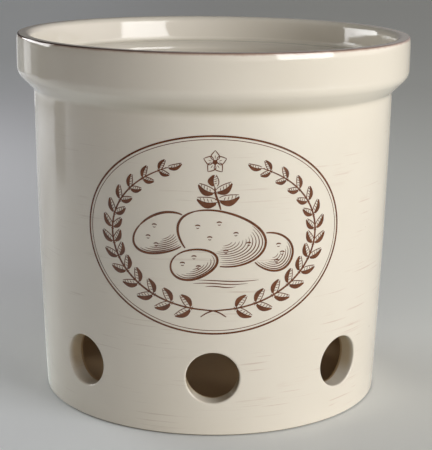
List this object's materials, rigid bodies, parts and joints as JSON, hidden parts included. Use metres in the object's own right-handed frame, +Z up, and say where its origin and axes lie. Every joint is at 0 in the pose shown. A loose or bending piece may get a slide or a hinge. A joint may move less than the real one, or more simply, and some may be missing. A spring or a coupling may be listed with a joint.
{
  "type": "potato storage crock",
  "caption": "Round stoneware storage crock with a rolled collar, an inner ledge, air vents round the foot and an oval printed badge.",
  "frame": {"origin": "middle of the circle that the foot stands on, on the vessel's axis", "axes": "+Z up along the vessel's axis; -Y towards the front, where the badge is; +X to the right as seen from the front"},
  "size_m": [0.248, 0.248, 0.229],
  "materials": {
    "clay": "bare fired stoneware, matte",
    "outer_glaze": "gloss cream glaze with faint brown brush streaks",
    "liner_glaze": "gloss cream glaze, plain",
    "edge_brown": "brown line, gloss",
    "print_brown": "fired transfer print, gloss"
  },
  "bodies": {
    "root": {"stoneware_body": "clay", "outer_glaze": "outer_glaze", "liner_glaze": "liner_glaze", "rim_line": "edge_brown", "badge_outer_line": "print_brown", "badge_inner_line": "print_brown"}
  },
  "joints": []
}
